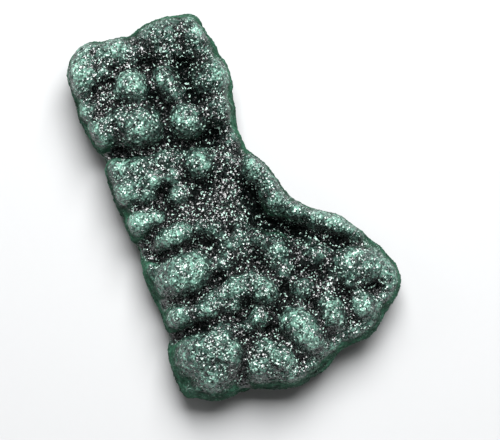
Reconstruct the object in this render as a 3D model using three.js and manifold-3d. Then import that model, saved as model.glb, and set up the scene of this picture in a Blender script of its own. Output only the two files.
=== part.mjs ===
// A botryoidal malachite slab: one piece of mineral whose front is a crowd of rounded swells and knobs
// with creases between them, and whose back is the broken face that it rests on. Millimetres, +Z up out
// of the knobby front, +Y towards the narrow end. The origin is the middle of the resting face.
import * as THREE from "three";
import { mergeVertices } from "three/addons/utils/BufferGeometryUtils.js";
import Module from "manifold-3d";

const wasm = await Module();
wasm.setup();

// Driving dimensions.
const GROUND = 10.5; // height of the front where no dome stands
const RIM_SHARE = 0.76; // share of its height that the front keeps where it meets the outline
const RIM_ROLL = 2.4; // width of the strip in which the front rolls down to the rim
const UNDERCUT = 3.2; // how far the outline draws in by the resting face
const UNDERCUT_HEIGHT = 5; // height over which it does
const KNOB_RISE = 0.75; // a knob's rise over its mean half-width
const KNOB_FULLNESS = 2.2; // 2 is a dome with an even curve, more is flatter on top with steeper flanks
const SWELL_FULLNESS = 2.6;
const BLEND = 1.7; // per mm: how crisply domes meet, more is crisper
const MESH_STEP = 1; // spacing of the front's mesh
const OUTLINE_STEPS = 120;
const UNDERCUT_STEPS = 4;
const CHIP_STEPS = 24;
const CUT_MARGIN = 4; // how far the block of the front stands past the outline and below the back

// The outline, clockwise from the shoulder of the narrow end, as seen from the front.
const OUTLINE = [
  [-25.5, 39.2], [-24.5, 44.4], [-21, 48.2], [-16.6, 49.3], [-10.5, 47.9], [-1.5, 48.1],
  [5.2, 47.5], [9.9, 46], [10.9, 44.6], [10.9, 41], [12.4, 35.4], [12.1, 27.6],
  [9.8, 19.4], [8.4, 14.2], [9.2, 7.6], [11.4, 2.6], [12.4, -2.6], [14.8, -8.4],
  [18.6, -12.2], [22.4, -15.4], [24.8, -19.6], [27.6, -24.6], [30, -30.2], [30.3, -33.2],
  [29, -37.4], [24.6, -40.7], [21.2, -43], [18.4, -45.2], [13, -45.6], [8.6, -45.9],
  [5, -48], [-3.5, -49.4], [-9, -47.8], [-13.6, -45.6], [-18.5, -45], [-24, -44.5],
  [-27.6, -42], [-30.6, -40.4], [-30.4, -32], [-28.6, -24.4], [-27.5, -19.5], [-27.8, -12.6],
  [-26.8, -3], [-26.9, 7], [-26.1, 16.6], [-25.4, 20.5], [-26.1, 27], [-26.5, 32.8],
];

// Broad swells, each down to the ground at its edge: [x, y, half-width, half-length, turn in degrees,
// crown height].
const SWELLS = [
  // narrow end, left of the upright groove
  [-19.8, 42.4, 8.3, 8.7, 0, 17.4],
  [-12, 43, 6.9, 6.7, 0, 17],
  [-11.6, 34.4, 6.3, 6.5, 0, 18.6],
  [-20, 33.6, 7.8, 4.3, 0, 15.6],
  [-20.8, 27.2, 6.7, 5.6, 0, 16.8],
  [-14, 25.2, 8.1, 7.4, -15, 19],
  // narrow end, right of the groove
  [0.4, 41.8, 9.2, 8.5, 0, 16.4],
  [7.2, 38.6, 5.6, 9.4, 0, 15.8],
  [-3.2, 31.4, 5.2, 7.4, 0, 17.2],
  [6.6, 28, 6.7, 6.7, 0, 17.4],
  [-2.6, 21, 6.5, 6.3, 0, 18.2],
  [5, 20.6, 6, 6.7, 0, 16.4],
  [5, 12.6, 5.2, 6, 0, 14.6],
  // band below the cross crease
  [-18.8, 12.6, 9.6, 7.8, 0, 17.6],
  [-10, 12.4, 7.8, 6.7, -15, 17.4],
  [-4.6, 10.2, 5.4, 5.4, 0, 18.4],
  [-11.4, 5.2, 5.4, 3.8, 0, 16.8],
  [1.4, 7, 6.3, 7.8, 0, 15.8],
  // waist
  [-21.6, 2.4, 6.7, 4.3, 0, 16.6],
  [-12.2, 0, 6, 3.6, 0, 15.6],
  [-16.2, -4.2, 6.9, 4.9, 0, 18],
  [-3.6, -2.2, 10.5, 10.1, 0, 16.2],
  [-17.8, -13.6, 9.4, 7.6, 0, 21.6],
  [-4.4, -12.6, 9, 7.4, 0, 16.8],
  // band above the heel crease
  [-21.8, -22.6, 6, 4.7, 0, 17],
  [-15, -23, 6.7, 5.4, 0, 17.8],
  [-8.8, -22.2, 5.6, 5.4, 0, 17.8],
  [-2.8, -24.6, 5.6, 6, 0, 18.6],
  [4.4, -19, 6.5, 8.7, 10, 17.6],
  [12.4, -21.6, 9.4, 8.1, -20, 17],
  // heel
  [-20, -34, 9.6, 8.6, 0, 20.4],
  [-21.6, -40.8, 9, 4.9, 0, 14.6],
  [-8.4, -31.2, 6.3, 4.5, 0, 17],
  [-8, -40.8, 8.1, 7.2, 0, 18.4],
  [-3.4, -46, 6.5, 4, 0, 15.4],
  [2.4, -38, 6.4, 7.5, 5, 20.2],
  [10.4, -36.6, 5.6, 6.5, 8, 18.8],
  [6.8, -28.6, 5.8, 5.2, 0, 17.4],
  [12, -42.8, 13, 4.3, 3, 14.4],
  // toe
  [20.2, -28.4, 8.4, 7.6, 0, 19.6],
  [13.8, -29.8, 5.2, 4.5, 0, 16.6],
  [18, -37.6, 5.8, 5.6, 0, 17.6],
  [26.2, -33.4, 5.2, 6.7, 0, 15.8],
  [24.4, -38.8, 6, 3.8, 25, 14.4],
  // roll along the right flank
  [8, 3, 5.2, 6.5, 0, 16.8],
  [9.2, -4.4, 5.2, 6.5, 15, 16.6],
  [13, -10.2, 4.7, 6.5, 40, 16.6],
  [18.4, -15, 4.7, 6.5, 52, 17],
  [23.2, -20.2, 4.7, 6.3, 42, 16.6],
  [26.8, -26, 3.6, 5.2, 25, 15],
];

// Knobs on and between the swells: [x, y, half-width, half-length, turn in degrees, crown height].
const KNOBS = [
  // narrow end, left of the upright groove
  [-21.6, 41.2, 4.8, 4.8, 0, 18.8],
  [-18.8, 46.4, 4.2, 3.1, 10, 17.4],
  [-16.8, 40.4, 3.1, 2.9, 0, 18],
  [-23, 37.6, 2.6, 2.4, 0, 16.4],
  [-12.8, 43.4, 4, 3.7, 0, 18.2],
  [-8.6, 41.2, 2.6, 2.9, 0, 17.2],
  [-11.4, 34, 4.8, 4.6, 20, 20],
  [-23.4, 33, 3.1, 2.9, 0, 16.8],
  [-18, 34.6, 3.1, 2.6, 0, 16.6],
  [-13.2, 24.6, 5.7, 5.1, -15, 20.2],
  [-17.4, 28.4, 3.5, 3.1, 0, 18.2],
  [-22.8, 27.2, 3.3, 3.5, 0, 17.8],
  // narrow end, right of the groove
  [-3.6, 32.4, 3.1, 3.5, 0, 18],
  [-2.4, 28, 2.6, 2.4, 0, 17.4],
  [8.2, 28.4, 4.2, 4.4, 0, 18.2],
  [-2.4, 21.2, 4.8, 4.6, 0, 19],
  [5.4, 21.6, 3.7, 3.7, 0, 17.2],
  [7.6, 39.8, 3.3, 3.7, 0, 16.8],
  [1.6, 42.8, 5.1, 4, 0, 17],
  // band below the cross crease
  [-18.4, 15, 4, 2.9, 0, 18.6],
  [-16.4, 11, 3.7, 3.1, 0, 18.6],
  [-22.7, 11.2, 3.7, 3.7, 0, 18],
  [-22.8, 16.6, 3.1, 2.9, 0, 17],
  [-18.8, 7.8, 2.6, 2.3, 0, 17.4],
  [-12, 14.2, 3.5, 2.9, -15, 18.2],
  [-11.2, 9.2, 2.5, 2.3, 0, 17.8],
  [-4.6, 10, 4.2, 4.3, 0, 19.2],
  [-11.6, 4.8, 3.1, 2.4, 0, 17.4],
  // waist
  [-22.8, 2.8, 3.1, 2.8, 0, 17.4],
  [-18.9, 1.5, 2.4, 2.1, 0, 17],
  [-16.2, -4, 4.8, 3.5, 0, 18.8],
  [-25, -9.6, 2.4, 2.6, 0, 14.4],
  [-9.4, -4.6, 2.4, 2.2, 0, 17.2],
  [-6.6, -6.9, 2.2, 2.5, 0, 17.2],
  [-1.1, -8.6, 2.1, 2, 0, 17.2],
  [-4.2, -11.6, 3, 2.5, 0, 17.9],
  [1.1, -12.7, 2.2, 2.2, 0, 17.8],
  [-8.6, -14.8, 2.9, 2.9, 0, 17.4],
  // band above the heel crease
  [-22.8, -22.4, 3.1, 2.9, 0, 18],
  [-16.6, -23.6, 4, 3.3, 0, 18.8],
  [-13, -21.4, 2.4, 2.2, 0, 18.2],
  [-8.4, -21.8, 3.5, 3.4, 0, 18.9],
  [-11, -25.6, 2.6, 2.2, 0, 17.6],
  [-2.4, -25.2, 3.7, 4.1, 0, 19.6],
  [-3.6, -20.9, 2.4, 2.1, 0, 17.8],
  [3.6, -23.5, 2.1, 2, 0, 18],
  [5, -17.2, 2.9, 3.7, 12, 18.6],
  [12.6, -22.2, 3.7, 3.1, 0, 17.7],
  // heel
  [-22.5, -33, 4.4, 4.3, 0, 20.4],
  [-16.2, -35.8, 4.6, 4.4, 0, 20.8],
  [-15.8, -30.4, 4, 3, 0, 19.6],
  [-21, -38.8, 4.2, 3, 0, 19],
  [-27.2, -33.4, 2.4, 3.5, 0, 15.2],
  [-11.4, -32, 2.6, 2.6, 0, 17.8],
  [-6.4, -30.8, 3.2, 3.1, 0, 18.2],
  [-11, -41, 3.3, 3.6, 0, 19],
  [-4.9, -41.6, 4.2, 4.1, 0, 19.8],
  [-7.9, -37.4, 3, 2.5, 0, 18.6],
  [-4, -46.2, 3.5, 2.4, 0, 16.4],
  [0.8, -45.4, 2.4, 2, 0, 16],
  [2.3, -38, 5.3, 6.2, 6, 22],
  [10.4, -36.4, 4.4, 5.3, 8, 20],
  [6.6, -28.8, 3.2, 3.1, 0, 18.2],
  [6.8, -43.8, 2.8, 2, 0, 15.4],
  [13.6, -42.8, 2.6, 2, 0, 15.2],
  // toe
  [19.4, -27, 4, 3.4, 0, 19.7],
  [23.4, -30.4, 3.8, 3.6, 0, 19],
  [18.6, -32.2, 3, 2.8, 0, 18.5],
  [15.6, -27.2, 2.5, 2.2, 0, 17.6],
  [12.6, -30.2, 2.9, 2.6, 0, 17.2],
  [17.9, -37.7, 3.6, 3.5, 0, 18.4],
  [27, -33, 2.4, 2.9, 0, 16.4],
  [19.6, -42.2, 2.9, 2, 0, 14.8],
  [24.4, -37.6, 2.9, 2.3, 20, 15.4],
  // roll along the right flank
  [7.8, 3.6, 3.2, 3.2, 0, 17.6],
  [10.2, -1.4, 2.6, 2.8, 0, 17.2],
  [9.4, -6.4, 3.1, 3.1, 0, 17.4],
  [13.2, -10.2, 2.5, 2.4, 0, 17.4],
  [17, -14.2, 3, 2.8, 0, 17.8],
  [20.6, -17, 3.3, 3.1, -30, 18],
  [23.8, -21.4, 2.9, 2.6, -50, 17.4],
];

// Creases that sharpen the valleys between the swells: width, depth and the points that each runs through.
const CREASES = [
  { width: 1.4, depth: 1.5, line: [[-6.8, 38], [-7, 33], [-7.2, 27], [-7.6, 21], [-6, 17.4]] },
  {
    width: 1.7,
    depth: 1.8,
    line: [[-26, 20.8], [-20.6, 20.2], [-14, 17.8], [-8, 17], [-2.6, 14.8], [3, 15.4]],
  },
  { width: 1.2, depth: 0.7, line: [[-26, 36], [-21, 36.4], [-16, 37.6]] },
  { width: 1.2, depth: 0.7, line: [[1.8, 35], [2, 30], [1.4, 25.6]] },
  { width: 1.1, depth: 0.8, line: [[-26.5, 5.8], [-20, 5.4], [-14.8, 6.8]] },
  { width: 1, depth: 0.7, line: [[-8.8, 11], [-7.9, 7.4], [-4.8, 5.2]] },
  { width: 1.1, depth: 0.7, line: [[-26.4, -2], [-22, -1.4], [-14, -0.2]] },
  { width: 1.1, depth: 0.8, line: [[-24, -6.6], [-17, -8.2], [-11.6, -6.6]] },
  { width: 1.3, depth: 1, line: [[-26, -19.2], [-18, -20], [-11, -18.2]] },
  { width: 1.6, depth: 1.5, line: [[-27, -25.8], [-20, -27.2], [-14, -28.2], [-9, -28.2]] },
  { width: 1.3, depth: 1, line: [[-12.8, -29.6], [-12, -34.6], [-14.6, -39.6], [-15.6, -45]] },
  { width: 1.3, depth: 1.1, line: [[-5, -34.4], [-2.8, -36], [-1.2, -42], [2, -45]] },
  { width: 1.1, depth: 0.8, line: [[6.8, -33], [6.9, -37], [6.2, -41]] },
  { width: 1.1, depth: 0.7, line: [[14.2, -34.6], [14.4, -39], [11, -41.4]] },
  { width: 1.8, depth: 2.2, line: [[3.8, -2], [5, -7], [8, -11.4], [13, -16.8], [19, -21.4], [25, -24.2]] },
];

// Shallow chips in the broken back: [x, y, radius of the chip's curve, depth].
const CHIPS = [
  [-14, 33, 26, 1.1],
  [7, 24, 18, 1.2],
  [-19, 2, 24, 1.2],
  [-17, -33, 30, 1.2],
  [17, -28, 22, 1.3],
  [2, -42, 18, 1.1],
];

const outlineCurve = new THREE.CatmullRomCurve3(
  OUTLINE.map(([x, y]) => new THREE.Vector3(x, y, 0)),
  true,
  "centripetal",
);
const outline = outlineCurve
  .getSpacedPoints(OUTLINE_STEPS)
  .slice(0, -1)
  .map((point) => new THREE.Vector2(point.x, point.y));

// A dome's height at a place: it has fallen by its rise at its own edge, and falls on past it.
function domeHeight([x, y, halfWidth, halfLength, turn, crown, rise, fullness], place) {
  const own = place.clone().rotateAround(new THREE.Vector2(x, y), THREE.MathUtils.degToRad(-turn));
  return crown - rise * Math.hypot((own.x - x) / halfWidth, (own.y - y) / halfLength) ** fullness;
}

const domes = [
  ...SWELLS.map((swell) => [...swell, swell[5] - GROUND, SWELL_FULLNESS]),
  ...KNOBS.map((knob) => [...knob, (KNOB_RISE * (knob[2] + knob[3])) / 2, KNOB_FULLNESS]),
];

// How far a place is from a line through points.
function distanceTo(line, place) {
  return line.slice(1).reduce((nearest, end, i) => {
    const along = end.clone().sub(line[i]);
    const share = THREE.MathUtils.clamp(place.clone().sub(line[i]).dot(along) / along.lengthSq(), 0, 1);
    return Math.min(nearest, place.distanceTo(line[i].clone().addScaledVector(along, share)));
  }, Infinity);
}

// How far the creases cut down at a place.
const creases = CREASES.map(({ line, ...crease }) => ({
  ...crease,
  line: line.map(([x, y]) => new THREE.Vector2(x, y)),
}));
function creaseDepth(place) {
  const cuts = creases.map(({ width, depth, line }) => {
    const away = distanceTo(line, place) / width;
    return depth * Math.exp(-(away ** 2));
  });
  return Math.max(...cuts);
}

function isInside(place) {
  const crossings = outline.filter((a, i) => {
    const b = outline[(i + 1) % outline.length];
    const level = a.y > place.y !== b.y > place.y;
    return level && place.x < a.x + ((b.x - a.x) * (place.y - a.y)) / (b.y - a.y);
  });
  return crossings.length % 2 === 1;
}

// 0 at the outline, less beyond it, and 1 where the front has stopped rolling down to it.
function rollAt(place) {
  const away = distanceTo([...outline, outline[0]], place) * (isInside(place) ? 1 : -1);
  const near = THREE.MathUtils.clamp(away / RIM_ROLL, -0.5, 1);
  return near * (2 - near);
}

// The front's height: the domes over the ground, blended where they meet, creased, and rolled down at
// the rim.
function frontHeight(place) {
  const above = domes.map((dome) => Math.exp(BLEND * (domeHeight(dome, place) - GROUND)));
  const total = above.reduce((sum, share) => sum + share, 1);
  const height = GROUND + Math.log(total) / BLEND - creaseDepth(place);
  return height * THREE.MathUtils.lerp(RIM_SHARE, 1, rollAt(place));
}

// A closed mesh's geometry as a manifold-3d solid: only its merged positions matter.
function solidOf(geometry) {
  geometry.deleteAttribute("normal");
  geometry.deleteAttribute("uv");
  const merged = mergeVertices(geometry, 1e-4);
  return new wasm.Manifold(
    new wasm.Mesh({
      numProp: 3,
      vertProperties: merged.attributes.position.array,
      triVerts: new Uint32Array(merged.index.array),
    }),
  );
}

// A block whose top is the front, wider and deeper than the slab that is cut from it.
function frontBlock() {
  const size = new THREE.Box2().setFromPoints(outline).expandByScalar(CUT_MARGIN);
  const { x: width, y: length } = size.getSize(new THREE.Vector2());
  const centre = size.getCenter(new THREE.Vector2());
  const columns = Math.round(width / MESH_STEP);
  const rows = Math.round(length / MESH_STEP);
  const block = new THREE.BoxGeometry(width, length, 2 * CUT_MARGIN, columns, rows, 1);
  block.translate(centre.x, centre.y, 0);
  const at = block.attributes.position;
  for (let i = 0; i < at.count; i++) {
    if (at.getZ(i) > 0) at.setZ(i, frontHeight(new THREE.Vector2(at.getX(i), at.getY(i))));
  }
  return solidOf(block);
}

// The slab's sides and back: the outline extruded, drawn in towards the resting face.
function sides() {
  const plate = new THREE.ExtrudeGeometry(new THREE.Shape(outline), {
    depth: 2 * GROUND,
    bevelSize: UNDERCUT,
    bevelOffset: -UNDERCUT,
    bevelThickness: UNDERCUT_HEIGHT,
    bevelSegments: UNDERCUT_STEPS,
  });
  return solidOf(plate.translate(0, 0, UNDERCUT_HEIGHT));
}

function chip([x, y, radius, depth]) {
  const ball = new THREE.SphereGeometry(radius, CHIP_STEPS / 2, CHIP_STEPS).rotateX(Math.PI / 2);
  return solidOf(ball.translate(x, y, depth - radius));
}

const stone = CHIPS.reduce((rest, place) => rest.subtract(chip(place)), sides().intersect(frontBlock()));
const mesh = stone.getMesh();
const geometry = new THREE.BufferGeometry()
  .setAttribute("position", new THREE.BufferAttribute(mesh.vertProperties, 3))
  .setIndex(new THREE.BufferAttribute(mesh.triVerts, 1));
geometry.computeBoundingBox();
const middle = geometry.boundingBox.getCenter(new THREE.Vector3());
geometry.translate(-middle.x, -middle.y, 0);

const slab = new THREE.Mesh(
  geometry,
  new THREE.MeshStandardMaterial({ color: 0x1d4a3a, roughness: 0.45, metalness: 0 }),
);
slab.name = "malachite_slab";

const specimen = new THREE.Group();
specimen.add(slab);

export default specimen;
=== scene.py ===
"""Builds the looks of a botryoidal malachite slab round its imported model: the stone, then its studio."""

import math

import bpy
import numpy as np
from mathutils import Euler, Matrix, Vector, noise


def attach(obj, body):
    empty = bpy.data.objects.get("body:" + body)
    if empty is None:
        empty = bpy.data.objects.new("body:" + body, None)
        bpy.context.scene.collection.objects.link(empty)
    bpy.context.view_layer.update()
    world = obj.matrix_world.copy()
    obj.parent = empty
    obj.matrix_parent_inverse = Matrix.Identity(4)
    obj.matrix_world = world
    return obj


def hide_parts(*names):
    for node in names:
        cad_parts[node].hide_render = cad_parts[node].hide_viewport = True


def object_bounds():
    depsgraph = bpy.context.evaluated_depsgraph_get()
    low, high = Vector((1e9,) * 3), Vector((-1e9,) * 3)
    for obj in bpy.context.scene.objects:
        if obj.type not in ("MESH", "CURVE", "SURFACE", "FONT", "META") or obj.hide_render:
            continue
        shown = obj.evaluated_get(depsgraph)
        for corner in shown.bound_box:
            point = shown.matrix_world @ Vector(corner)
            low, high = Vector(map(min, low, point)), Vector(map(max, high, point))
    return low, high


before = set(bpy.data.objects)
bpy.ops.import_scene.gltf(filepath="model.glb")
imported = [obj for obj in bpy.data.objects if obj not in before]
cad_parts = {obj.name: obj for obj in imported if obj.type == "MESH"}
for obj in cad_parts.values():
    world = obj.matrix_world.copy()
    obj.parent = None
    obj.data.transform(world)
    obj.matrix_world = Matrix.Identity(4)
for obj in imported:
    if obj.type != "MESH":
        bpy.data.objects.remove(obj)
CAD_LOW, CAD_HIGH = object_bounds()

bl_info = {
    "name": "Botryoidal Malachite Slab",
    "version": (1, 0, 0),
    "blender": (4, 5, 0),
    "location": "3D View > Sidebar > Malachite",
    "description": "Builds a knobby slab of malachite with a coat of tiny crystals, and its studio",
    "category": "Add Mesh",
}

MM = 0.001
SEED = 41
# The view from above that the studio is built round: from the wide end, a little to one side.
VIEW_AZIMUTH = math.radians(-24)
VIEW_ELEVATION = math.radians(83)
# The stretch of the front where the druse is darkest, in millimetres: a line down its middle, from the
# narrow end to the inside of the wide end, and how far the darkness reaches from it.
DARK_LINE = ((3, 44), (4, 22), (-1, 0), (13, -21))
DARK_REACH = 8

# Widths over which the material's patterns change.
CRYSTAL = 0.4 * MM
VELVET = 1.8 * MM
PATCH = 6 * MM
RUST = 14 * MM
PAINT_GRAIN = 2 * MM
# Centres of growth in the broken back, and how often the rings' tone may change over that distance.
CENTRE_SPACING = 24 * MM
RING_CHANGES = 12
# Growth layers that the sides cut across: how far one runs and how thick it is.
LAYER_RUN = 16 * MM
LAYER_THICKNESS = 3 * MM

# How far crystals tilt, on the coat and where the stone is bare.
TILT = 1
BARE_TILT = 0.25
# One facet in twenty is pale all over: painted glints, standing in for crystal faces that catch a light.
PAINTED_GLINTS_FROM = 0.95

# The height of a lump, from 0 to 1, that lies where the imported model's surface is.
LUMP_LEVEL = 0.6
# Width of the largest features of the broken stone, and the number of octaves of finer ones.
BREAK_WIDTH = 7 * MM
BREAK_OCTAVES = 6

# Where the camera looks: millimetres to the view's right of the front's middle, and below it.
LOOK_RIGHT = 5
LOOK_DOWN = 6.3
# Half the floor's width, in metres.
FLOOR_REACH = 1.5


def linear(hex_colour):
    """An sRGB hex colour as the linear numbers that shaders use."""
    parts = [int(hex_colour[i : i + 2], 16) / 255 for i in (0, 2, 4)]
    return tuple(c / 12.92 if c <= 0.04045 else ((c + 0.055) / 1.055) ** 2.4 for c in parts)


def length(name, description, millimetres):
    """A length that a user may change, with its default in millimetres."""
    return bpy.props.FloatProperty(
        name=name,
        description=description,
        default=millimetres * MM,
        min=0,
        subtype="DISTANCE",
        unit="LENGTH",
    )


def colour(name, description, hex_colour):
    """A colour that a user may change, with its default as an sRGB hex colour."""
    return bpy.props.FloatVectorProperty(
        name=name,
        description=description,
        default=linear(hex_colour),
        min=0,
        max=1,
        size=3,
        subtype="COLOR",
    )


class StoneSizes(bpy.types.PropertyGroup):
    """Sizes of the stone's surface, from its facets up to its swells, and how rough and full it is."""

    facet: length("Facet size", "Width of one facet of the stone's mesh", 0.45)
    facet_relief: length("Facet relief", "How far facets are shaken out of line", 0.06)
    facet_smoothing: length("Smoothing", "Width over which the packed model is smoothed", 0.8)
    lump: length("Lump size", "Width of the small lumps that cover the knobs", 2.3)
    lump_height: length("Lump height", "How far the small lumps stand out", 0.22)
    grain: length("Grain size", "Width of the bunches of crystals on the lumps", 1.1)
    grain_height: length("Grain height", "How far the bunches of crystals stand out", 0.12)
    knob: length("Knob size", "Width over which the surface counts as a crown or a crevice", 2.4)
    swell: length("Swell size", "Width over which it counts as a swell or a valley", 5)
    break_height: length("Break height", "Roughness of the broken back and sides", 1.3)
    growth: bpy.props.FloatProperty(
        name="Knob growth",
        description="How much further knobs stand out and creases sink in",
        default=0.7,
        min=0,
    )


class StoneColours(bpy.types.PropertyGroup):
    """Colours of the stone, from the painted shade of its crevices to its crowns and its back, with painted
    glints.
    """

    # Painted shade: the near black of the creases.
    painted_crevice_shade: colour("Crevice", "Malachite in the crevices", "050908")
    dark: colour("Dark green", "Malachite on level stretches", "131B19")
    green: colour("Green", "Malachite on the flanks of knobs", "344D45")
    crown: colour("Crown", "Malachite on the crowns of knobs", "7EAB9A")
    rim: colour("Rim", "Pale layers on the sides, where the druse is thin", "2F6048")
    # Painted glints: the pale colour of one facet in twenty.
    painted_glint: colour("Pale facets", "The few facets that are pale all over", "B9DCCD")
    band_dark: colour("Dark band", "Dark rings of the back and dark layers of the sides", "173D2C")
    band_pale: colour("Pale band", "Pale rings of the broken back", "528A6E")
    # On the sides the stain is mixed in by height, darker and browner towards the floor.
    stain: colour("Stain", "Iron stain on the broken back and the sides", "2E2A1D")


class StudioSettings(bpy.types.PropertyGroup):
    """The floor, the lights, and the camera's view and distance."""

    floor: colour("Floor", "The pale board under the stone", "C3C4C5")
    key_radiance: bpy.props.FloatProperty(
        name="Key brightness", description="Radiance of the large soft box", default=15, min=0
    )
    fill_radiance: bpy.props.FloatProperty(
        name="Fill brightness", description="Radiance of the smaller soft boxes", default=2, min=0
    )
    room: bpy.props.FloatProperty(name="Room light", description="Light from all round", default=0.06, min=0)
    view_width: length("View width", "Width of what the camera sees, at the stone's front", 122.2)
    distance: length("Camera distance", "From the camera to the stone's front", 600)


def points_of(mesh):
    """A mesh's points, as rows of x, y and z."""
    flat = np.empty(len(mesh.vertices) * 3)
    mesh.vertices.foreach_get("co", flat)
    return flat.reshape(-1, 3)


def normals_of(mesh):
    """The directions that a mesh's points face, as rows of x, y and z."""
    flat = np.empty(len(mesh.vertices) * 3)
    mesh.vertex_normals.foreach_get("vector", flat)
    return flat.reshape(-1, 3)


def skin_of(node, width):
    """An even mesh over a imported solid: quads of the given width, on a grid turned off the solid's axes."""
    turn = Euler((0.31, 0.22, 0.55)).to_matrix().to_4x4()
    mesh = node.data.copy()
    mesh.transform(turn)
    copy = bpy.data.objects.new("skin", mesh)
    bpy.context.collection.objects.link(copy)
    remesh = copy.modifiers.new("skin", "REMESH")
    remesh.mode = "VOXEL"
    remesh.voxel_size = width
    skin = bpy.data.meshes.new_from_object(copy.evaluated_get(bpy.context.evaluated_depsgraph_get()))
    bpy.data.objects.remove(copy)
    bpy.data.meshes.remove(mesh)
    skin.transform(turn.inverted())
    return skin


def smoothed(values, edges, rounds):
    """Values at a mesh's points, averaged with their neighbours' over and over."""
    count = len(values)
    a, b = edges.T
    ways = np.bincount(a, minlength=count) + np.bincount(b, minlength=count)
    for _ in range(rounds):
        total = np.empty_like(values)
        for axis in range(values.shape[1]):
            column = values[:, axis]
            total[:, axis] = np.bincount(a, column[b], count) + np.bincount(b, column[a], count)
        values = 0.5 * values + 0.5 * total / ways[:, None]
    return values


def smoothing_rounds(width, step):
    """How many rounds of averaging blur a mesh of the given step over the given width."""
    return max(1, round(4 * (width / step) ** 2))


def lumps(points, width):
    """Rounded cells of the given width: 1 at a cell's middle, 0 in the crease between two."""
    nearest = np.array([noise.voronoi(Vector(p))[0][:2] for p in points / width])
    gap = nearest[:, 1] - nearest[:, 0]
    return 1 - (1 - np.clip(gap / 0.7, 0, 1)) ** 2


def fractal(points, width, octaves):
    """Rough noise about 0, with its largest features of the given width."""
    return np.array([noise.fractal(Vector(p), 0.8, 2.1, octaves) for p in points / width])


def smoothstep(low, high, value):
    """0 at low, 1 at high and smooth between them; low may be the larger of the two."""
    t = np.clip((value - low) / (high - low), 0, 1)
    return t * t * (3 - 2 * t)


def nearness(points, line, reach):
    """1 on a line of points seen from above, falling to nearly 0 at twice the reach."""
    away = np.full(len(points), np.inf)
    for start, end in zip(line, line[1:]):
        start, along = np.array(start), np.subtract(end, start)
        share = np.clip((points[:, :2] - start) @ along / (along @ along), 0, 1)
        away = np.minimum(away, np.linalg.norm(points[:, :2] - start - share[:, None] * along, axis=1))
    return np.exp(-((away / reach) ** 2))


def triangles_of(mesh, rng):
    """A quad mesh's triangles, cut along a random diagonal, so that no direction stands out."""
    corners = np.empty(len(mesh.loops), dtype=np.int64)
    mesh.loops.foreach_get("vertex_index", corners)
    quads = corners.reshape(-1, 4)
    turned = rng.random(len(quads)) < 0.5
    quads[turned] = np.roll(quads[turned], 1, axis=1)
    return np.concatenate([quads[:, [0, 1, 2]], quads[:, [0, 2, 3]]])


def stone_mesh(node, sizes):
    """The stone's surface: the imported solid's swells and knobs, with lumps, bunches and facets on them."""
    rng = np.random.default_rng(SEED)
    skin = skin_of(node, sizes.facet)
    edges = np.empty(len(skin.edges) * 2, dtype=np.int64)
    skin.edges.foreach_get("vertices", edges)
    edges = edges.reshape(-1, 2)

    points = smoothed(points_of(skin), edges, smoothing_rounds(sizes.facet_smoothing, sizes.facet))
    skin.vertices.foreach_set("co", points.ravel())
    skin.update()
    normals = normals_of(skin)

    # How far each point stands above the stretch round it, in two widths of stretch.
    level = smoothed(points, edges, smoothing_rounds(sizes.knob, sizes.facet))
    stand = np.einsum("ij,ij->i", points - level, normals)
    broad = smoothed(level, edges, smoothing_rounds(sizes.swell, sizes.facet))
    swell = np.einsum("ij,ij->i", points - broad, normals)

    # Masks from 0 to 1: the back, the steep sides without their creases, the creases, which carry painted
    # shade, the broken stone.
    height = points[:, 2]
    back = smoothstep(-0.35, -0.8, normals[:, 2]) * smoothstep(3.5 * MM, 1.5 * MM, height)
    side = smoothstep(0.85, 0.45, normals[:, 2]) * smoothstep(17 * MM, 12 * MM, height)
    side = side * smoothstep(-0.1 * MM, 0.5 * MM, swell)
    # The creases, where painted shade darkens the colour and cuts the gloss.
    crease_shade = smoothstep(-0.1 * MM, -0.7 * MM, stand)
    bare = np.maximum(back, smoothstep(11 * MM, 5 * MM, height))

    lump = lumps(points, sizes.lump)
    grain = lumps(points, sizes.grain)
    rough = fractal(points, BREAK_WIDTH, BREAK_OCTAVES)
    coat = sizes.lump_height * (lump - LUMP_LEVEL) + sizes.grain_height * (grain - LUMP_LEVEL)
    coat = coat + sizes.growth * np.clip(stand, -MM, MM)
    broken = -sizes.break_height * np.clip(0.5 + 1.6 * rough, 0, 1.6)
    points = points + normals * (coat * (1 - bare) + broken * bare)[:, None]

    # Facets shaken out of line, and the lowest points laid flat on the floor.
    shake = rng.normal(size=points.shape) * sizes.facet_relief
    points = points + shake * (1 - 0.6 * back)[:, None]
    points[:, 2] = np.maximum(points[:, 2], 0)

    triangles = triangles_of(skin, rng)
    mesh = bpy.data.meshes.new("malachite_stone")
    mesh.from_pydata(points.tolist(), [], triangles.tolist())
    bpy.data.meshes.remove(skin)
    for name, values in (
        ("stand", stand / MM),
        ("swell", swell / MM),
        ("lump", 0.6 * lump + 0.4 * grain),
        ("back", back),
        ("side", side),
        ("low", smoothstep(7 * MM, 2 * MM, height)),
        ("crease_shade", crease_shade),
        ("dark", nearness(points / MM, DARK_LINE, DARK_REACH)),
    ):
        mesh.attributes.new(name, "FLOAT", "POINT").data.foreach_set("value", values)
    mesh.attributes.new("facet", "FLOAT", "FACE").data.foreach_set("value", rng.random(len(triangles)))
    mesh.validate()
    return mesh


def new_material(name):
    """An empty node material."""
    material = bpy.data.materials.new(name)
    material.use_nodes = True
    material.node_tree.nodes.clear()
    return material


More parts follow.
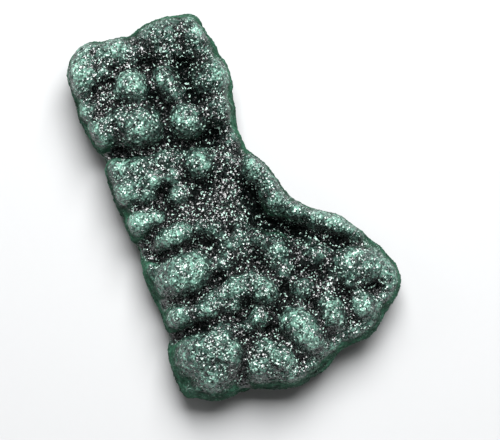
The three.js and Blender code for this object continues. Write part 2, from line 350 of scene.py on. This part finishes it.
def add_node(tree, kind, settings=None, **links):
    """Adds a node with its settings and links.

    Settings are the node's own values or its inputs' values, by name. Links are other nodes' outputs or
    values: an input's name has _ for a space, and _0, _1 and so on are inputs by number.
    """
    node = tree.nodes.new(kind)
    for name, value in (settings or {}).items():
        if hasattr(node, name):
            setattr(node, name, value)
        else:
            node.inputs[name].default_value = value
    for name, value in links.items():
        socket = node.inputs[int(name[1:])] if name[1:].isdigit() else node.inputs[name.replace("_", " ")]
        if isinstance(value, bpy.types.NodeSocket):
            tree.links.new(value, socket)
        else:
            socket.default_value = value
    return node


def rgba(values):
    """A colour with full opacity."""
    return (*values, 1)


def set_ramp(ramp, stops):
    """Sets a colour ramp's stops: (place, colour) pairs."""
    elements = ramp.color_ramp.elements
    while len(elements) < len(stops):
        elements.new(1)
    for element, (place, value) in zip(elements, stops):
        element.position = place
        element.color = rgba(value)


def malachite_material(colours):
    """Botryoidal malachite with a druse: fibrous green carbonate whose knobs grew a coat of tiny crystals.

    The eye gets near-black green between the knobs, which is partly painted shade, mint green on the crowns,
    where the fibres end, which is partly painted light, and hard white points of light from the crystal
    faces, with one facet in twenty painted pale as a glint. The sides are barer and layered. The broken back
    is ringed, dull and stained with iron.
    """
    material = new_material("Malachite, drusy botryoidal")
    tree = material.node_tree
    stand, swell, lump, back, low, crease_shade, dark, side, facet = (
        add_node(tree, "ShaderNodeAttribute", {"attribute_name": name}).outputs["Fac"]
        for name in ("stand", "swell", "lump", "back", "low", "crease_shade", "dark", "side", "facet")
    )
    place = add_node(tree, "ShaderNodeTexCoord").outputs["Object"]

    # How pale the green is: most on the crowns of swells and knobs, in velvety patches. This is partly the
    # stone's own colour and partly painted light: paler crowns and swells and darker creases and valleys
    # stand in for light and shade. Each source has a weight, and a value at which it leaves the tone as it
    # is.
    patch = add_node(tree, "ShaderNodeTexNoise", {"Scale": 1 / PATCH, "Detail": 2}, Vector=place)
    velvet = add_node(tree, "ShaderNodeTexNoise", {"Scale": 1 / VELVET, "Detail": 3}, Vector=place)
    share = 0.3  # of a level, even stretch
    for source, weight, neutral in (
        # Paler crowns and darker creases: partly the fibres' own colour, partly painted light and shade.
        (stand, 0.19, 0),
        # Painted shade in the creases.
        (crease_shade, -0.26, 0),
        (dark, -0.16, 0.25),
        # Painted light on the swells and painted shade in the valleys.
        (swell, 0.08, 0),
        (lump, 0.22, LUMP_LEVEL),
        (patch.outputs["Fac"], 0.5, 0.5),
        (velvet.outputs["Fac"], 1.0, 0.5),
    ):
        term = add_node(
            tree, "ShaderNodeMath", {"operation": "MULTIPLY_ADD"}, _0=source, _1=weight, _2=-weight * neutral
        )
        total = add_node(tree, "ShaderNodeMath", {"operation": "ADD"}, _0=share, _1=term.outputs[0])
        share = total.outputs[0]
    tone = add_node(tree, "ShaderNodeValToRGB", Fac=share)
    # The darkest stop is painted shade for the creases.
    set_ramp(
        tone,
        [(0.02, colours.painted_crevice_shade), (0.28, colours.dark), (0.52, colours.green), (0.9, colours.crown)],
    )

    # Each crystal of the coat has its own depth of colour, from clear and nearly black to cloudy and pale,
    # and its own tilt, so that only some of them face a light.
    cells = add_node(tree, "ShaderNodeTexVoronoi", {"Scale": 1 / CRYSTAL}, Vector=place)
    parts = add_node(tree, "ShaderNodeSeparateColor", Color=cells.outputs["Color"])
    depth = add_node(tree, "ShaderNodeMapRange", {"To Min": 0.2, "To Max": 1.9}, Value=parts.outputs["Red"])
    shade = add_node(tree, "ShaderNodeHueSaturation", Value=depth.outputs[0], Color=tone.outputs["Color"])
    # Painted glints: one facet in twenty turns pale all over, standing in for crystal faces that catch a
    # light.
    pale = add_node(tree, "ShaderNodeMath", {"operation": "GREATER_THAN"}, _0=facet, _1=PAINTED_GLINTS_FROM)
    painted_glint = add_node(tree, "ShaderNodeMix", {"data_type": "RGBA"}, _0=pale.outputs[0])
    tree.links.new(shade.outputs["Color"], painted_glint.inputs[6])
    painted_glint.inputs[7].default_value = rgba(colours.painted_glint)
    tilt = add_node(
        tree, "ShaderNodeVectorMath", {"operation": "SUBTRACT"}, _0=cells.outputs["Color"], _1=(0.5, 0.5, 0.5)
    )

    # The tilted normal: crystals lean less where the stone is bare.
    bare = add_node(tree, "ShaderNodeMath", {"operation": "MAXIMUM"}, _0=side, _1=back)
    strength = add_node(
        tree, "ShaderNodeMapRange", {"To Min": TILT, "To Max": BARE_TILT}, Value=bare.outputs[0]
    )
    level = add_node(tree, "ShaderNodeNewGeometry").outputs["Normal"]
    leaning = add_node(
        tree,
        "ShaderNodeVectorMath",
        {"operation": "MULTIPLY_ADD"},
        _0=tilt.outputs[0],
        _1=strength.outputs[0],
        _2=level,
    )
    facing = add_node(tree, "ShaderNodeVectorMath", {"operation": "NORMALIZE"}, _0=leaning.outputs[0])

    # The back: rings of uneven width round each centre of growth, with patches of iron stain.
    centres = add_node(tree, "ShaderNodeTexVoronoi", {"Scale": 1 / CENTRE_SPACING}, Vector=place)
    ring = add_node(
        tree,
        "ShaderNodeMath",
        {"operation": "MULTIPLY_ADD"},
        _0=centres.outputs["Distance"],
        _1=RING_CHANGES,
        _2=velvet.outputs["Fac"],
    )
    rings = add_node(tree, "ShaderNodeTexNoise", {"noise_dimensions": "1D", "Scale": 1}, W=ring.outputs[0])
    banded = add_node(tree, "ShaderNodeValToRGB", Fac=rings.outputs["Fac"])
    set_ramp(banded, [(0.35, colours.band_dark), (0.65, colours.band_pale)])
    rust = add_node(tree, "ShaderNodeTexNoise", {"Scale": 1 / RUST, "Detail": 6}, Vector=place)
    stained = add_node(
        tree, "ShaderNodeMapRange", {"From Min": 0.48, "From Max": 0.62}, Value=rust.outputs["Fac"]
    )
    broken = add_node(tree, "ShaderNodeMix", {"data_type": "RGBA"}, _0=stained.outputs[0])
    tree.links.new(banded.outputs["Color"], broken.inputs[6])
    broken.inputs[7].default_value = rgba(colours.stain)

    # The sides: growth layers, darker and browner towards the floor.
    run = (1 / LAYER_RUN, 1 / LAYER_RUN, 1 / LAYER_THICKNESS)
    along = add_node(tree, "ShaderNodeVectorMath", {"operation": "MULTIPLY"}, _0=place, _1=run)
    layers = add_node(tree, "ShaderNodeTexNoise", {"Scale": 1, "Detail": 5}, Vector=along.outputs[0])
    layered = add_node(tree, "ShaderNodeValToRGB", Fac=layers.outputs["Fac"])
    set_ramp(layered, [(0.36, colours.band_dark), (0.6, colours.rim)])
    worn = add_node(
        tree,
        "ShaderNodeMapRange",
        {"From Min": 0.3, "From Max": 0.7, "To Min": 0.45, "To Max": 1.5},
        Value=velvet.outputs["Fac"],
    )
    thin = add_node(tree, "ShaderNodeHueSaturation", Value=worn.outputs[0], Color=layered.outputs["Color"])
    sided = add_node(tree, "ShaderNodeMath", {"operation": "MULTIPLY"}, _0=side, _1=0.8)
    rim = add_node(tree, "ShaderNodeMix", {"data_type": "RGBA"}, _0=sided.outputs[0])
    tree.links.new(painted_glint.outputs[2], rim.inputs[6])
    tree.links.new(thin.outputs["Color"], rim.inputs[7])
    towards_floor = add_node(tree, "ShaderNodeMath", {"operation": "MULTIPLY"}, _0=low, _1=0.75)
    flank = add_node(tree, "ShaderNodeMix", {"data_type": "RGBA"}, _0=towards_floor.outputs[0])
    tree.links.new(rim.outputs[2], flank.inputs[6])
    flank.inputs[7].default_value = rgba(colours.stain)
    whole = add_node(tree, "ShaderNodeMix", {"data_type": "RGBA"}, _0=back)
    tree.links.new(flank.outputs[2], whole.inputs[6])
    tree.links.new(broken.outputs[2], whole.inputs[7])

    # Gloss: full on the coat, less in the dark stretch, less in creases as part of their painted shade, and
    # hardly any on bare stone.
    clear = add_node(tree, "ShaderNodeMath", {"operation": "MULTIPLY"}, _0=dark, _1=0.32)
    shaded = add_node(
        tree, "ShaderNodeMath", {"operation": "MULTIPLY_ADD"}, _0=crease_shade, _1=0.5, _2=clear.outputs[0]
    )
    dull = add_node(
        tree, "ShaderNodeMath", {"operation": "MAXIMUM"}, _0=bare.outputs[0], _1=shaded.outputs[0]
    )
    rough = add_node(
        tree, "ShaderNodeMapRange", {"From Min": 0.5, "To Min": 0.2, "To Max": 0.7}, Value=bare.outputs[0]
    )
    gloss = add_node(
        tree, "ShaderNodeMapRange", {"From Max": 0.8, "To Min": 0.5, "To Max": 0.05}, Value=dull.outputs[0]
    )
    surface = add_node(
        tree,
        "ShaderNodeBsdfPrincipled",
        {"IOR": 1.9},
        Base_Color=whole.outputs[2],
        Roughness=rough.outputs[0],
        Specular_IOR_Level=gloss.outputs[0],
        Normal=facing.outputs[0],
    )
    add_node(tree, "ShaderNodeOutputMaterial", Surface=surface.outputs[0])
    return material


def board_material(value):
    """Painted board: matt, pale and even, with the faint unevenness of rolled paint."""
    material = new_material("Painted board, matt")
    tree = material.node_tree
    place = add_node(tree, "ShaderNodeTexCoord").outputs["Object"]
    grain = add_node(tree, "ShaderNodeTexNoise", {"Scale": 1 / PAINT_GRAIN, "Detail": 2}, Vector=place)
    tint = add_node(tree, "ShaderNodeMix", {"data_type": "RGBA"}, _0=grain.outputs["Fac"])
    tint.inputs[6].default_value = rgba([c * 0.985 for c in value])
    tint.inputs[7].default_value = rgba(value)
    surface = add_node(tree, "ShaderNodeBsdfPrincipled", {"Roughness": 0.75}, Base_Color=tint.outputs[2])
    add_node(tree, "ShaderNodeOutputMaterial", Surface=surface.outputs[0])
    return material


def link(obj):
    """Adds an object to the scene."""
    bpy.context.collection.objects.link(obj)
    return obj


def look_at(obj, place, target, up):
    """Puts a camera or light at a place, facing the target, with its top towards up."""
    back = (place - target).normalized()
    right = up.cross(back).normalized()
    turn = Matrix((right, back.cross(right), back)).transposed()
    obj.matrix_world = Matrix.Translation(place) @ turn.to_4x4()


def soft_box(name, target, direction, up, distance, width, radiance):
    """A square soft box of the given radiance, facing the target."""
    data = bpy.data.lights.new(name, "AREA")
    data.size = width
    data.energy = radiance * math.pi * width**2
    lamp = link(bpy.data.objects.new(name, data))
    look_at(lamp, target + direction.normalized() * distance, target, up)
    return lamp


class MALACHITE_OT_add_slab(bpy.types.Operator):
    """Adds the stone itself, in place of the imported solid"""

    bl_idname = "malachite.add_slab"
    bl_label = "Malachite slab"

    def execute(self, context):
        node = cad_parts["malachite_slab"]
        mesh = stone_mesh(node, context.scene.stone_sizes)
        mesh.materials.append(malachite_material(context.scene.stone_colours))
        stone = link(bpy.data.objects.new("malachite_stone", mesh))
        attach(stone, "root")
        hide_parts("malachite_slab")
        return {"FINISHED"}


class MALACHITE_OT_add_studio(bpy.types.Operator):
    """Adds the floor, the soft boxes and the camera"""

    bl_idname = "malachite.add_studio"
    bl_label = "Studio"

    def execute(self, context):
        settings = context.scene.studio_settings
        back = Vector(
            (
                math.sin(VIEW_AZIMUTH) * math.cos(VIEW_ELEVATION),
                -math.cos(VIEW_AZIMUTH) * math.cos(VIEW_ELEVATION),
                math.sin(VIEW_ELEVATION),
            )
        )
        up = Vector((-math.sin(VIEW_AZIMUTH), math.cos(VIEW_AZIMUTH), 0))
        right = up.cross(Vector((0, 0, 1)))
        front = Vector((0, 0, 0.7 * CAD_HIGH.z))

        mesh = bpy.data.meshes.new("floor")
        corners = [(x * FLOOR_REACH, y * FLOOR_REACH, 0) for x, y in ((-1, -1), (1, -1), (1, 1), (-1, 1))]
        mesh.from_pydata(corners, [], [(0, 1, 2, 3)])
        mesh.materials.append(board_material(settings.floor))
        link(bpy.data.objects.new("floor", mesh))

        # Each soft box's way from the stone (right, up and above), its distance, width and radiance.
        for name, way, distance, width, radiance in (
            ("key box", (0.12, 0.6, 1.15), 0.7, 0.48, settings.key_radiance),
            ("left box", (-1.1, 0.3, 1), 0.9, 0.3, settings.fill_radiance),
            ("near box", (0.3, -0.9, 1.4), 0.9, 0.25, settings.fill_radiance),
        ):
            direction = right * way[0] + up * way[1] + Vector((0, 0, way[2]))
            soft_box(name, front, direction, up, distance, width, radiance)

        world = bpy.data.worlds.new("room")
        world.use_nodes = True
        world.node_tree.nodes["Background"].inputs["Color"].default_value = (1, 1, 1, 1)
        world.node_tree.nodes["Background"].inputs["Strength"].default_value = settings.room
        context.scene.world = world
        context.scene.view_settings.view_transform = "Standard"

        data = bpy.data.cameras.new("camera")
        data.lens = data.sensor_width * settings.distance / settings.view_width
        camera = link(bpy.data.objects.new("camera", data))
        target = front + right * LOOK_RIGHT * MM - up * LOOK_DOWN * MM
        look_at(camera, target + back * settings.distance, target, up)
        context.scene.camera = camera
        return {"FINISHED"}


class MALACHITE_PT_panel(bpy.types.Panel):
    """Lists the stone and its studio"""

    bl_label = "Malachite"
    bl_space_type = "VIEW_3D"
    bl_region_type = "UI"
    bl_category = "Malachite"

    def draw(self, context):
        for group in ("stone_sizes", "stone_colours", "studio_settings"):
            settings = getattr(context.scene, group)
            box = self.layout.box()
            # The first two are Blender's own.
            for name in settings.bl_rna.properties.keys()[2:]:
                box.prop(settings, name)
        for operator in (MALACHITE_OT_add_slab, MALACHITE_OT_add_studio):
            self.layout.operator(operator.bl_idname)


CLASSES = (
    StoneSizes,
    StoneColours,
    StudioSettings,
    MALACHITE_OT_add_slab,
    MALACHITE_OT_add_studio,
    MALACHITE_PT_panel,
)


def register():
    for cls in CLASSES:
        bpy.utils.register_class(cls)
    bpy.types.Scene.stone_sizes = bpy.props.PointerProperty(type=StoneSizes)
    bpy.types.Scene.stone_colours = bpy.props.PointerProperty(type=StoneColours)
    bpy.types.Scene.studio_settings = bpy.props.PointerProperty(type=StudioSettings)


def unregister():
    del bpy.types.Scene.studio_settings
    del bpy.types.Scene.stone_colours
    del bpy.types.Scene.stone_sizes
    for cls in reversed(CLASSES):
        bpy.utils.unregister_class(cls)


def main():
    register()
    bpy.ops.malachite.add_slab()
    bpy.ops.malachite.add_studio()


if __name__ == "__main__":
    main()
